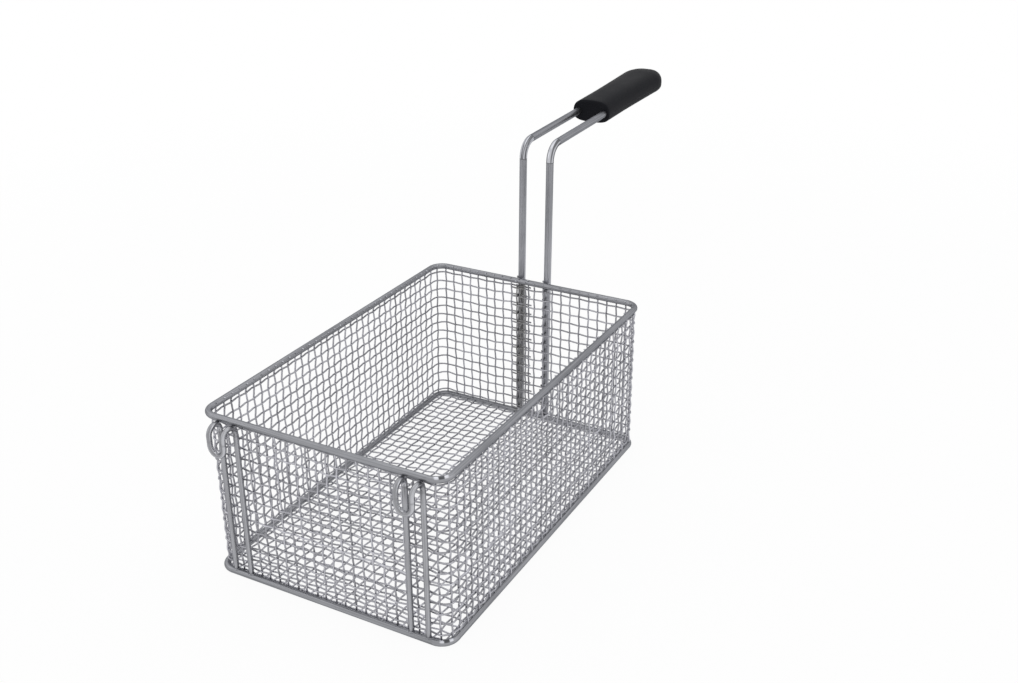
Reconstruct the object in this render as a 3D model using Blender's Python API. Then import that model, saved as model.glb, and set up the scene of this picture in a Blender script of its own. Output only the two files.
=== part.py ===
"""Deep fryer basket: woven wire cloth on a welded wire frame, with two drain hooks on the front
wall and a long wire handle that ends in a moulded grip.

Metres, +Z up. The hooks are at the -Y end and the grip at the +Y end. The pieces are placed in the
basket's own coordinates, with the middle of the bottom frame at X = 0, Y = 0 and the floor at Z = 0.
One empty then carries them all, so that the origin lies under the middle of the whole object.
"""
import math

import bmesh
import bpy
from mathutils import Vector

# Basket, between the centre lines of the rim wire and the bottom frame wire
BASKET_WIDTH = 0.200
BASKET_LENGTH = 0.320
WALL_HEIGHT = 0.1315
CORNER_RADIUS = 0.013

# Wire diameters
RIM_WIRE = 0.005
FRAME_WIRE = 0.005
HOOK_WIRE = 0.004
HANDLE_WIRE = 0.00635

# Clearance between pieces that touch
SEAT_GAP = 0.0003

# Woven wire cloth, with every third wire of a three-mesh cloth drawn as one thicker strand
CLOTH_STRAND = 0.0019
CLOTH_PITCH = 0.0246
CLOTH_CORNER_RADIUS = 0.010
CLOTH_INSET = 0.0003
STRAND_WELD = 0.0003
TOP_WIRE_DROP = 0.0060
BASE_LIFT = 0.0006

# Drain hooks: each is one wire that goes up, over, down, across and back
HOOK_INSET = 0.0225
HOOK_LEG_SPACING = 0.014
HOOK_REACH = 0.0125
HOOK_DROP = 0.0205

# Handle
HANDLE_SPACING = 0.0254
HANDLE_RISE = 0.12475
HANDLE_BEND_RADIUS = 0.014
HANDLE_SLOPE = math.radians(1.65)
HANDLE_FREE_RUN = 0.0936
HANDLE_FOOT = 0.0012

# Grip
GRIP_LENGTH = 0.1355
GRIP_WIDTH = 0.0361
GRIP_FLARE = 0.0049
GRIP_THICKNESS = 0.0172
GRIP_CROWN = 0.0031
GRIP_END_EDGE = 0.0012
GRIP_NOSE_LENGTH = 0.0226
GRIP_NOSE_TURN = math.radians(84)
GRIP_WIRE_RISE = 0.0006
GRIP_BORE_CLEARANCE = 0.0003
WIRE_DEPTH_IN_GRIP = 0.092

# Smoothness
LOOP_CORNER_STEPS = 5
HOOK_ARC_STEPS = 6
HANDLE_ARC_STEPS = 7
GRIP_SIDES = 28
GRIP_NOSE_STEPS = 7
ROUND_WIRE_SIDES = 10
HOOK_WIRE_SIDES = 8

# Heights and offsets that follow from the sizes above
FLAT_SHARE = math.cos(math.pi / ROUND_WIRE_SIDES)
FRAME_Z = FRAME_WIRE / 2 * FLAT_SHARE
RIM_Z = FRAME_Z + WALL_HEIGHT
STRAND_SWING = (CLOTH_STRAND - STRAND_WELD) / 2
CLOTH_THICKNESS = 2 * STRAND_SWING + CLOTH_STRAND
CLOTH_FRONT_INSET = HOOK_WIRE / 2 + SEAT_GAP + CLOTH_THICKNESS / 2
CLOTH_WIDTH = BASKET_WIDTH - 2 * CLOTH_INSET
CLOTH_LENGTH = BASKET_LENGTH - CLOTH_INSET - CLOTH_FRONT_INSET
CLOTH_MIDDLE_Y = (CLOTH_FRONT_INSET - CLOTH_INSET) / 2
CLOTH_FOOT_Z = FRAME_Z + FRAME_WIRE / 2 + SEAT_GAP
CLOTH_HEAD_Z = RIM_Z - RIM_WIRE / 2 - SEAT_GAP
BASE_Z = FRAME_Z + BASE_LIFT
FRONT_Y = -BASKET_LENGTH / 2
HANDLE_Y = BASKET_LENGTH / 2 + max(RIM_WIRE, FRAME_WIRE) / 2 + SEAT_GAP + HANDLE_WIRE / 2
HANDLE_TOP_Z = RIM_Z + HANDLE_RISE


def steel(name, colour, roughness):
    """A satin steel material."""
    return principled(name, colour, roughness, 1.0)


def principled(name, colour, roughness, metallic):
    material = bpy.data.materials.new(name)
    material.use_nodes = True
    shader = material.node_tree.nodes["Principled BSDF"]
    shader.inputs["Base Color"].default_value = (*colour, 1.0)
    shader.inputs["Roughness"].default_value = roughness
    shader.inputs["Metallic"].default_value = metallic
    material.diffuse_color = (*colour, 1.0)
    return material


def arc(centre, start, end, radius, first_degrees, last_degrees, steps):
    """Points on a circle in the plane of the unit vectors start and end, where start is at 0 degrees
    and end at 90 degrees."""
    points = []
    for step in range(steps + 1):
        angle = math.radians(first_degrees + (last_degrees - first_degrees) * step / steps)
        points.append(centre + radius * (math.cos(angle) * start + math.sin(angle) * end))
    return points


def rounded_loop(width, length, radius, z, steps):
    """A rectangle with round corners, anticlockwise from the front right corner."""
    right = Vector((1, 0, 0))
    back = Vector((0, 1, 0))
    reach_x = width / 2 - radius
    reach_y = length / 2 - radius
    points = []
    for sign_x, sign_y, first in ((1, -1, -90), (1, 1, 0), (-1, 1, 90), (-1, -1, 180)):
        centre = Vector((sign_x * reach_x, sign_y * reach_y, z))
        points += arc(centre, right, back, radius, first, first + 90, steps)
    return points


def wire_curve(name, paths, diameter, sides, closed=False, flats_to_axes=False):
    """Round wire along one or more point lists, as one curve object."""
    curve = bpy.data.curves.new(name, "CURVE")
    curve.dimensions = "3D"
    curve.bevel_depth = diameter / 2 / math.cos(math.pi / 4) if sides == 4 else diameter / 2
    curve.bevel_resolution = (sides - 4) // 2
    curve.use_fill_caps = not closed
    for points in paths:
        spline = curve.splines.new("POLY")
        spline.points.add(len(points) - 1)
        for spline_point, point in zip(spline.points, points):
            spline_point.co = (*point, 1.0)
            spline_point.tilt = math.pi / sides if flats_to_axes else 0.0
        spline.use_cyclic_u = closed
        spline.use_smooth = sides > 4
    if closed:
        curve.twist_mode = "Z_UP"
    return bpy.data.objects.new(name, curve)


def to_mesh(curve_object):
    """The curve's surface as a closed mesh object of the same name."""
    name = curve_object.name
    bpy.context.scene.collection.objects.link(curve_object)
    graph = bpy.context.evaluated_depsgraph_get()
    mesh = bpy.data.meshes.new_from_object(curve_object.evaluated_get(graph))
    matrix = curve_object.matrix_world.copy()
    bpy.data.objects.remove(curve_object)
    bm = bmesh.new()
    bm.from_mesh(mesh)
    bmesh.ops.remove_doubles(bm, verts=bm.verts, dist=0.00001)
    bmesh.ops.recalc_face_normals(bm, faces=bm.faces)
    bm.to_mesh(mesh)
    bm.free()
    solid = bpy.data.objects.new(name, mesh)
    mesh.name = name
    solid.matrix_world = matrix
    return solid


def cut_or_join(body, tool, operation, tools, carrier):
    """Boolean modifier on body, with the tool kept hidden in its own collection."""
    tools.objects.link(tool)
    tool.parent = carrier
    tool.hide_render = True
    tool.hide_set(True)
    tool.display_type = "WIRE"
    modifier = body.modifiers.new(tool.name, "BOOLEAN")
    modifier.operation = operation
    modifier.solver = "EXACT"
    modifier.object = tool


def finish(solid, material, parts, carrier, smooth_degrees=35):
    """Material, shading, collection and carrier of a finished piece."""
    parts.objects.link(solid)
    solid.data.materials.clear()
    solid.data.materials.append(material)
    solid.data.shade_smooth()
    solid.data.set_sharp_from_angle(angle=math.radians(smooth_degrees))
    solid.parent = carrier
    return solid


def wire_loop(name, wire, z):
    """Rim or bottom frame: one wire bent into a rectangle with round corners and butt welded."""
    points = rounded_loop(BASKET_WIDTH, BASKET_LENGTH, CORNER_RADIUS, z, LOOP_CORNER_STEPS)
    return to_mesh(wire_curve(name, [points], wire, ROUND_WIRE_SIDES, closed=True))


def crimp(distance, pitch, phase):
    """How far a woven wire stands out of the cloth's middle, at a distance from a crossing."""
    return STRAND_SWING * math.cos(math.pi * distance / pitch) * phase


def loop_place(distance):
    """Place and outward direction on the wall cloth's outline, at a distance along it from the middle
    of the front wall."""
    flat_x = CLOTH_WIDTH - 2 * CLOTH_CORNER_RADIUS
    flat_y = CLOTH_LENGTH - 2 * CLOTH_CORNER_RADIUS
    bend = math.pi / 2 * CLOTH_CORNER_RADIUS
    distance += flat_x / 2
    turns = 0
    run = flat_x
    while distance > run + bend:
        distance -= run + bend
        turns += 1
        run = flat_y if turns % 2 else flat_x
    along = Vector((1, 0, 0))
    outward = Vector((0, -1, 0))
    half_x = CLOTH_WIDTH / 2
    half_y = CLOTH_LENGTH / 2
    if turns % 2:
        half_x, half_y = half_y, half_x
    place = along * (min(distance, run) - run / 2) + outward * half_y
    if distance > run:
        angle = (distance - run) / CLOTH_CORNER_RADIUS
        centre = along * (run / 2) + outward * (half_y - CLOTH_CORNER_RADIUS)
        outward = outward * math.cos(angle) + along * math.sin(angle)
        place = centre + outward * CLOTH_CORNER_RADIUS
    quarter = math.pi / 2 * turns
    cosine = round(math.cos(quarter))
    sine = round(math.sin(quarter))
    place = Vector((place.x * cosine - place.y * sine, place.x * sine + place.y * cosine + CLOTH_MIDDLE_Y, 0))
    outward = Vector((outward.x * cosine - outward.y * sine, outward.x * sine + outward.y * cosine, 0))
    return place, outward


def corner_stations():
    """Distances along the outline where a level wire needs a point to follow the round corners."""
    flat_x = CLOTH_WIDTH - 2 * CLOTH_CORNER_RADIUS
    flat_y = CLOTH_LENGTH - 2 * CLOTH_CORNER_RADIUS
    bend = math.pi / 2 * CLOTH_CORNER_RADIUS
    stations = []
    start = flat_x / 2
    for run in (flat_y, flat_x, flat_y, flat_x):
        stations += [start + bend * share for share in (0.0, 0.33, 0.67, 1.0)]
        start += bend + run
    return stations


def even_count(length, pitch):
    """The even number of cells nearest to the pitch."""
    return 2 * max(1, round(length / pitch / 2))


def wall_cloth(tools, carrier):
    """Band of plain weave, round the four walls: upright wires and level wires pass over and under
    each other, and are joined where they cross."""
    outline = 2 * (CLOTH_WIDTH + CLOTH_LENGTH) - (8 - 2 * math.pi) * CLOTH_CORNER_RADIUS
    columns = even_count(outline, CLOTH_PITCH)
    column_pitch = outline / columns
    lowest = CLOTH_FOOT_Z + CLOTH_STRAND / 2
    highest = RIM_Z - TOP_WIRE_DROP
    rows = max(1, round((highest - lowest) / CLOTH_PITCH))
    row_pitch = (highest - lowest) / rows
    row_heights = [lowest + row_pitch * row for row in range(rows + 1)]

    uprights = []
    for column in range(columns):
        place, outward = loop_place(column * column_pitch)
        phase = 1 if column % 2 else -1
        heights = [CLOTH_FOOT_Z] + row_heights + [CLOTH_HEAD_Z]
        uprights.append([place + outward * crimp(height - lowest, row_pitch, phase) + Vector((0, 0, height))
                         for height in heights])

    crossings = [column * column_pitch for column in range(columns)]
    bends = [bend for bend in corner_stations() if min(abs(bend - place) for place in crossings) > CLOTH_STRAND]
    stations = sorted(crossings + bends)
    levels = []
    for row, height in enumerate(row_heights):
        phase = -1 if row % 2 else 1
        level = []
        for station in stations:
            place, outward = loop_place(station)
            swing = crimp(station, column_pitch, phase)
            level.append(place + outward * swing + Vector((0, 0, height)))
        levels.append(level)

    cloth = to_mesh(wire_curve("wall_cloth", uprights, CLOTH_STRAND, 4, flats_to_axes=True))
    level_wires = to_mesh(wire_curve("wall_cloth_level_wires", levels, CLOTH_STRAND, 4, closed=True,
                                     flats_to_axes=True))
    cut_or_join(cloth, level_wires, "UNION", tools, carrier)
    return cloth


def base_cloth(tools, carrier):
    """Panel of the same weave that closes the bottom, with its wire ends at the wall cloth."""
    span_x = BASKET_WIDTH - FRAME_WIRE - 2 * SEAT_GAP
    span_y = BASKET_LENGTH - FRAME_WIRE - 2 * SEAT_GAP
    columns = max(2, round(span_x / CLOTH_PITCH))
    rows = max(2, round(span_y / CLOTH_PITCH))
    pitch_x = span_x / columns
    pitch_y = span_y / rows
    xs = [-span_x / 2 + pitch_x * (column + 0.5) for column in range(columns)]
    ys = [-span_y / 2 + pitch_y * (row + 0.5) for row in range(rows)]

    lengthways = []
    for column, x in enumerate(xs):
        phase = 1 if column % 2 else -1
        lengthways.append([Vector((x, y, BASE_Z + crimp(y - ys[0], pitch_y, phase)))
                           for y in [-span_y / 2] + ys + [span_y / 2]])
    crossways = []
    for row, y in enumerate(ys):
        phase = -1 if row % 2 else 1
        crossways.append([Vector((x, y, BASE_Z + crimp(x - xs[0], pitch_x, phase)))
                          for x in [-span_x / 2] + xs + [span_x / 2]])

    cloth = to_mesh(wire_curve("base_cloth", lengthways, CLOTH_STRAND, 4, flats_to_axes=True))
    cross_wires = to_mesh(wire_curve("base_cloth_cross_wires", crossways, CLOTH_STRAND, 4, flats_to_axes=True))
    cut_or_join(cloth, cross_wires, "UNION", tools, carrier)
    return cloth


def hook(name, middle_x):
    """Drain hook: up from the bottom frame, over a half circle under the rim, down, across and back."""
    up = Vector((0, 0, 1))
    front = Vector((0, -1, 0))
    right = Vector((1, 0, 0))
    half = HOOK_LEG_SPACING / 2
    foot_z = FRAME_Z + FRAME_WIRE / 2 + SEAT_GAP
    crown_radius = HOOK_REACH / 2
    crown_z = RIM_Z - RIM_WIRE / 2 - SEAT_GAP - HOOK_WIRE / 2 - crown_radius
    across_z = crown_z + crown_radius - HOOK_DROP + half
    points = [Vector((middle_x - half, FRONT_Y, foot_z))]
    left_crown = Vector((middle_x - half, FRONT_Y - crown_radius, crown_z))
    points += arc(left_crown, -front, up, crown_radius, 0, 180, HOOK_ARC_STEPS)
    turn = Vector((middle_x, FRONT_Y - HOOK_REACH, across_z))
    points += arc(turn, -right, -up, half, 0, 180, HOOK_ARC_STEPS)
    right_crown = Vector((middle_x + half, FRONT_Y - crown_radius, crown_z))
    points += arc(right_crown, front, up, crown_radius, 0, 180, HOOK_ARC_STEPS)
    points.append(Vector((middle_x + half, FRONT_Y, foot_z)))
    return to_mesh(wire_curve(name, [points], HOOK_WIRE, HOOK_WIRE_SIDES))


def handle_axes():
    """Direction of the handle's run and the direction square to it, upwards."""
    run = Vector((0, math.cos(HANDLE_SLOPE), math.sin(HANDLE_SLOPE)))
    lift = Vector((0, -math.sin(HANDLE_SLOPE), math.cos(HANDLE_SLOPE)))
    return run, lift


def grip_face():
    """Middle of the grip wires where they enter the grip."""
    run, lift = handle_axes()
    bend_centre = Vector((0, HANDLE_Y + HANDLE_BEND_RADIUS, HANDLE_TOP_Z - HANDLE_BEND_RADIUS))
    return bend_centre + lift * HANDLE_BEND_RADIUS + run * HANDLE_FREE_RUN


def handle_points():
    """One wire: up the outside of the back wall, over a bend, along, round a half circle inside the
    grip, and the same way back."""
    run, lift = handle_axes()
    right = Vector((1, 0, 0))
    half = HANDLE_SPACING / 2
    turn_degrees = 90 - math.degrees(HANDLE_SLOPE)
    sides = []
    for side in (-1, 1):
        bend_centre = Vector((side * half, HANDLE_Y + HANDLE_BEND_RADIUS, HANDLE_TOP_Z - HANDLE_BEND_RADIUS))
        bend = arc(bend_centre, Vector((0, -1, 0)), Vector((0, 0, 1)), HANDLE_BEND_RADIUS, 0, turn_degrees,
                   HANDLE_ARC_STEPS)
        foot = Vector((side * half, HANDLE_Y, HANDLE_FOOT))
        sides.append([foot] + bend)
    turn_centre = grip_face() + run * (WIRE_DEPTH_IN_GRIP - half)
    hairpin = arc(turn_centre, -right, run, half, 0, 180, 2 * HANDLE_ARC_STEPS)
    return sides[0] + hairpin + sides[1][::-1]


def grip_section(width, thickness, crown):
    """Outline of the grip square to its run: flat oval with a fuller top."""
    outline = []
    for step in range(GRIP_SIDES):
        angle = 2 * math.pi * step / GRIP_SIDES
        across = math.copysign(abs(math.cos(angle)) ** 0.62, math.cos(angle)) * width / 2
        up = math.copysign(abs(math.sin(angle)) ** 0.72, math.sin(angle)) * thickness / 2
        if up > 0:
            up += crown * math.sin(angle)
        outline.append((across, up))
    return outline


def grip_stations():
    """Distance along the grip, and the section's width, thickness and crown there."""
    edge = GRIP_END_EDGE
    straight = GRIP_LENGTH - GRIP_NOSE_LENGTH
    widest = GRIP_WIDTH + GRIP_FLARE
    stations = [
        (0.0, GRIP_WIDTH - 2 * edge, GRIP_THICKNESS - 2 * edge, GRIP_CROWN),
        (edge * 0.3, GRIP_WIDTH - edge * 0.6, GRIP_THICKNESS - edge * 0.6, GRIP_CROWN),
        (edge, GRIP_WIDTH, GRIP_THICKNESS, GRIP_CROWN),
        (straight * 0.35, GRIP_WIDTH, GRIP_THICKNESS, GRIP_CROWN),
        (straight * 0.6, GRIP_WIDTH + GRIP_FLARE * 0.35, GRIP_THICKNESS, GRIP_CROWN),
        (straight * 0.85, GRIP_WIDTH + GRIP_FLARE * 0.85, GRIP_THICKNESS, GRIP_CROWN),
        (straight, widest, GRIP_THICKNESS, GRIP_CROWN),
    ]
    for step in range(1, GRIP_NOSE_STEPS + 1):
        angle = GRIP_NOSE_TURN * step / GRIP_NOSE_STEPS
        stations.append((
            straight + GRIP_NOSE_LENGTH * math.sin(angle) / math.sin(GRIP_NOSE_TURN),
            widest * math.cos(angle) ** 0.75,
            GRIP_THICKNESS * math.cos(angle) ** 0.2,
            GRIP_CROWN * math.cos(angle) ** 0.5,
        ))
    return stations


def grip(tools, carrier):
    """Moulded grip, pushed over the closed end of the handle wire."""
    run, lift = handle_axes()
    right = Vector((1, 0, 0))
    start = grip_face() - lift * GRIP_WIRE_RISE
    bm = bmesh.new()
    rings = []
    for distance, width, thickness, crown in grip_stations():
        ring = [bm.verts.new(start + run * distance + right * across + lift * up)
                for across, up in grip_section(width, thickness, crown)]
        rings.append(ring)
    for near, far in zip(rings, rings[1:]):
        for index in range(GRIP_SIDES):
            following = (index + 1) % GRIP_SIDES
            bm.faces.new((near[index], near[following], far[following], far[index]))
    bm.faces.new(rings[0])
    bm.faces.new(rings[-1])
    bmesh.ops.recalc_face_normals(bm, faces=bm.faces)
    mesh = bpy.data.meshes.new("grip")
    bm.to_mesh(mesh)
    bm.free()
    body = bpy.data.objects.new("grip", mesh)
    channel = to_mesh(wire_curve("grip_wire_channel", [handle_points()],
                                 HANDLE_WIRE + 2 * GRIP_BORE_CLEARANCE, ROUND_WIRE_SIDES))
    cut_or_join(body, channel, "DIFFERENCE", tools, carrier)
    return body


def main():
    for old in list(bpy.data.objects):
        bpy.data.objects.remove(old)
    scene = bpy.context.scene
    parts = bpy.data.collections.new("fryer_basket")
    tools = bpy.data.collections.new("joining_tools")
    scene.collection.children.link(parts)
    scene.collection.children.link(tools)

    frame_steel = steel("frame_steel", (0.30, 0.31, 0.33), 0.34)
    hook_steel = steel("hook_steel", (0.38, 0.38, 0.40), 0.38)
    cloth_steel = steel("cloth_steel", (0.24, 0.25, 0.26), 0.40)
    grip_plastic = principled("grip_plastic", (0.022, 0.022, 0.025), 0.45, 0.0)

    grip_end = grip_face() + handle_axes()[0] * GRIP_LENGTH
    hook_front = FRONT_Y - HOOK_REACH - HOOK_WIRE / 2
    carrier = bpy.data.objects.new("basket_origin", None)
    carrier.location = (0, -(grip_end.y + hook_front) / 2, 0)
    parts.objects.link(carrier)

    finish(wire_loop("top_rim", RIM_WIRE, RIM_Z), frame_steel, parts, carrier)
    finish(wire_loop("bottom_frame", FRAME_WIRE, FRAME_Z), frame_steel, parts, carrier)
    finish(wall_cloth(tools, carrier), cloth_steel, parts, carrier)
    finish(base_cloth(tools, carrier), cloth_steel, parts, carrier)
    finish(hook("left_hook", HOOK_INSET - BASKET_WIDTH / 2), hook_steel, parts, carrier)
    finish(hook("right_hook", BASKET_WIDTH / 2 - HOOK_INSET), hook_steel, parts, carrier)
    handle = to_mesh(wire_curve("handle_wire", [handle_points()], HANDLE_WIRE, ROUND_WIRE_SIDES))
    finish(handle, frame_steel, parts, carrier)
    finish(grip(tools, carrier), grip_plastic, parts, carrier)


main()
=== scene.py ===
"""Deep fryer basket: welded wire frame, plain-woven crimped wire cloth, drain hooks, a long wire
handle and a moulded grip, on a plain pale floor.

The file is laid out as an add-on. Each operator builds one piece, or one group of like pieces, on the
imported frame. Metres, +Z up, the hooks at the -Y end and the grip at the +Y end.
"""
import math
import random

import bmesh
import bpy
from mathutils import Matrix, Vector


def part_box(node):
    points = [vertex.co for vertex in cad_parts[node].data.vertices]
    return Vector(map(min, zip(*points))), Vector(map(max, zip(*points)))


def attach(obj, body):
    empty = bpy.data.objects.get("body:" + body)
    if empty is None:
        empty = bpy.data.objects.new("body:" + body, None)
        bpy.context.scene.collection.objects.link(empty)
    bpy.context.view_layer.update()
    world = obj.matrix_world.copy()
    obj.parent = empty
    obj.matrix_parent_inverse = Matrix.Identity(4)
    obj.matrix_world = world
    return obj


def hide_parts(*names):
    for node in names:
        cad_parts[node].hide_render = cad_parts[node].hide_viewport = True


bl_info = {
    "name": "Wire fryer basket",
    "version": (1, 0, 0),
    "blender": (4, 5, 0),
    "location": "3D View > Sidebar > Fryer basket",
    "description": "Builds the wires, woven cloth, welds and grip of a deep fryer basket",
    "category": "Add Mesh",
}

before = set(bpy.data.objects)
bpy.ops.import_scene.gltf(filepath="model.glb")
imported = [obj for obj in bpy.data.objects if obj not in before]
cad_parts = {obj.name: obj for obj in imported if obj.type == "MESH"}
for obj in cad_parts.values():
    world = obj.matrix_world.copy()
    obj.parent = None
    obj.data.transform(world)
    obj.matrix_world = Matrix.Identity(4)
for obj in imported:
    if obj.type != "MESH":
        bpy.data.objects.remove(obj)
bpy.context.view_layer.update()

RIGHT = Vector((1, 0, 0))
BACK = Vector((0, 1, 0))
UP = Vector((0, 0, 1))

RIM_LOW, RIM_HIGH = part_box("top_rim")
FOOT_LOW, FOOT_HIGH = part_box("bottom_frame")
MIDDLE_Y = (RIM_LOW.y + RIM_HIGH.y) / 2
RIM_Z = (RIM_LOW.z + RIM_HIGH.z) / 2
FOOT_Z = (FOOT_LOW.z + FOOT_HIGH.z) / 2
HALF_Z = (RIM_Z + FOOT_Z) / 2

SEAT_GAP = 0.0003
CLOTH_START_X = -0.0216
CLOTH_END_X = -0.0026
SEAM_X = -0.0138

EDGE_TINT = (0.42, 0.43, 0.45, 1.0)
BURNT = (0.205, 0.199, 0.180, 1.0)
WHITE = (1.0, 1.0, 1.0, 1.0)
METAL = {"Metallic": 1.0, "Specular Tint": EDGE_TINT}
# Plated wire finishes: colour, how far the bends are rubbed smooth and painted with highlight and dark
# reflection streaks, and how much the low part is painted lighter, a painted lift against the shade it
# reflects.
PLATINGS = {
    "frame_wire_finish": ("frame_steel", 0.10, 1.0),
    "handle_wire_finish": ("handle_steel", 1.0, 1.42),
    "hook_wire_finish": ("hook_steel", 0.50, 1.0),
}
# Weld finishes, as shares of the frame's colour. The plain welds are painted lighter, a painted lift
# against the shade they sit in; the rim's pale spots lighter still, as painted highlights; the burnt
# welds darker.
WELDS = {"weld_finish": 1.5, "weld_mark_finish": 1.75, "burnt_weld_finish": 0.75}

# Where the cloth's strands stand, in mm. For each straight part of the walls, from the seam on: the
# lean of the uprights, their places from the basket's middle at half height, and the heights of the
# level strands above the bottom frame, from the top down.
WALLS = (
    (0.0,
     (-16.5, -7.9, 0.8, 9.6, 18.2, 27.0, 35.8, 44.6, 53.4, 62.2, 70.8, 79.6, 88.4),
     (125.8, 117.4, 109.0, 100.6, 92.2, 83.6, 75.0, 66.6, 58.0, 49.2, 40.4, 31.6, 22.8, 13.8, 4.9)),
    (0.0,
     (-143.1, -133.4, -125.8, -117.4, -109.7, -101.5, -93.8, -86.0, -77.9, -69.7, -61.4, -52.9, -44.5,
      -36.2, -27.8, -19.4, -10.9, -2.5, 6.0, 14.5, 23.0, 31.5, 40.0, 48.5, 57.1, 65.7, 74.3, 82.9, 91.5,
      100.2, 108.8, 117.5, 126.2, 134.9, 143.6),
     (126.5, 118.2, 109.3, 100.3, 91.4, 82.5, 74.0, 65.2, 56.4, 48.1, 39.9, 31.8, 23.4, 14.9, 5.2)),
    (0.0,
     (-88.8, -80.3, -71.8, -63.2, -55.0, -46.9, -38.4, -29.6, -21.4, -12.6, -4.2, 4.4, 13.0, 21.6, 30.4,
      39.2, 48.0, 56.8, 66.0, 74.8, 83.6),
     (125.8, 117.4, 109.0, 100.2, 91.8, 83.2, 74.6, 65.8, 57.2, 48.2, 39.0, 30.6, 22.2, 13.2, 4.8)),
    (0.026,
     (-139.0, -130.4, -122.2, -113.9, -105.4, -97.0, -88.6, -80.4, -72.1, -63.6, -55.2, -46.7, -38.2,
      -29.6, -21.3, -12.9, -4.8, 3.5, 11.6, 20.2, 28.5, 37.1, 45.6, 54.1, 62.5, 70.9, 79.1, 87.3, 95.4,
      103.4, 111.6, 119.7, 127.9, 136.7, 146.0),
     (125.8, 117.2, 109.0, 100.6, 92.2, 83.9, 75.5, 67.1, 58.5, 49.9, 41.1, 32.4, 23.5, 14.5, 5.4)),
    (0.0,
     (-82.2, -73.6, -64.8, -56.4, -47.9, -39.6, -31.2, -22.6, -14.2, -5.4),
     (125.6, 117.2, 108.8, 100.4, 92.0, 83.6, 75.0, 66.4, 57.6, 49.0, 40.2, 31.2, 22.4, 13.4, 4.6)),
)
FRONT_SAG = (
    125.8, 116.4, 108.8, 100.0, 90.9, 83.1, 73.9, 65.6, 56.0, 48.2, 38.9, 30.2, 20.6, 13.2, 4.8)
# Where the level strands leave those heights: number of the straight part, place, heights.
SAGS = (
    (1, -82.0,
     (126.5, 118.1, 109.2, 100.0, 91.2, 82.3, 73.8, 65.3, 56.1, 47.9, 39.8, 31.7, 22.9, 15.1, 5.0)),
    (1, -102.0,
     (126.4, 117.4, 107.8, 98.6, 88.9, 80.6, 71.8, 64.0, 54.8, 46.4, 38.7, 31.1, 22.2, 15.0, 4.8)),
    (1, -120.0,
     (126.3, 117.0, 106.5, 97.0, 87.7, 79.2, 70.7, 62.3, 54.0, 45.6, 38.2, 31.1, 22.7, 15.2, 4.8)),
    (1, -140.0,
     (126.3, 116.8, 106.2, 97.2, 87.9, 79.4, 71.0, 62.8, 54.6, 45.6, 38.2, 31.2, 23.0, 15.4, 5.0)),
    (2, 60.0, FRONT_SAG),
    (2, 15.0, FRONT_SAG),
)
# The places of the base's strands across and along, in mm from the basket's middle.
BASE_ROWS = (
    -155.8, -147.5, -139.0, -130.7, -122.4, -114.0, -105.7, -97.3, -89.0, -80.7, -72.4, -64.0, -55.6,
    -47.3, -38.9, -30.5, -22.1, -13.7, -5.3, 3.0, 11.5, 19.9, 28.2, 36.9, 45.2, 53.8, 62.3, 71.0, 79.2,
    87.8, 96.2, 104.7, 113.2, 121.7, 129.8, 138.0, 145.8, 153.6)
BASE_COLUMNS = (
    -94.0, -85.6, -77.4, -69.1, -60.7, -52.3, -43.8, -35.5, -26.9, -18.4, -9.8, -1.4, 7.1, 15.6, 24.4,
    33.2, 42.1, 51.2, 60.0, 68.7, 77.4, 86.2, 94.8)
ROWS = range(len(FRONT_SAG))


def metres(name, description, default):
    """A length, as the panel shows it."""
    return bpy.props.FloatProperty(name=name, description=description, default=default, unit="LENGTH")


def tint(name, description, default):
    """A colour, as the panel shows it."""
    return bpy.props.FloatVectorProperty(
        name=name, description=description, default=default, subtype="COLOR", size=3)


class BasketSizes(bpy.types.PropertyGroup):
    """Sizes of the frame, the hooks and the handle"""

    width: metres("Width", "Between the centre lines of the rim's long sides", 0.200)
    length: metres("Length", "Between the centre lines of the rim's short sides", 0.320)
    corner_radius: metres("Corner radius", "Of the rim and the bottom frame, at mid wire", 0.0115)
    frame_wire: metres("Frame wire", "Diameter of the rim and the bottom frame wire", 0.005)
    hook_wire: metres("Hook wire", "Diameter of the drain hooks' wire", 0.004)
    hook_inset: metres("Hook inset", "From the rim's side to the middle of a hook", 0.0225)
    hook_legs: metres("Hook legs", "Between the centre lines of a hook's two legs", 0.014)
    hook_reach: metres("Hook reach", "How far a hook stands out in front of its legs", 0.0125)
    hook_drop: metres("Hook drop", "From a hook's crown down to its cross bend", 0.0198)
    hook_pinch: bpy.props.FloatProperty(
        name="Hook pinch", description="Share by which a hook narrows towards its front", default=0.12)
    handle_wire: metres("Handle wire", "Diameter of the handle's wire", 0.00635)
    handle_spacing: metres("Handle spacing", "Between the centre lines of the handle's two runs", 0.0254)
    handle_rise: metres("Handle rise", "From the rim up to the handle's run", 0.12475)
    handle_bend: metres("Handle bend", "Radius of the bend between upright and run", 0.014)
    handle_slope: bpy.props.FloatProperty(
        name="Handle slope", description="Angle at which the run climbs",
        default=math.radians(1.65), unit="ROTATION")
    handle_lean: bpy.props.FloatProperty(
        name="Handle lean", description="Angle at which the handle leans to the right",
        default=0.0118, unit="ROTATION")
    feet_shift: metres("Feet shift", "How far the handle's feet stand to the left", 0.00405)
    run_veer: metres("Run veer", "How far the handle's run veers to the right", 0.0008)
    handle_lift: metres("Handle lift", "How far too high the handle was welded on", 0.0004)
    free_run: metres("Free run", "Bare wire between the bend and the grip", 0.0926)
    depth_in_grip: metres("Depth in grip", "How far the wire's closed end goes into the grip", 0.093)


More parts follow.
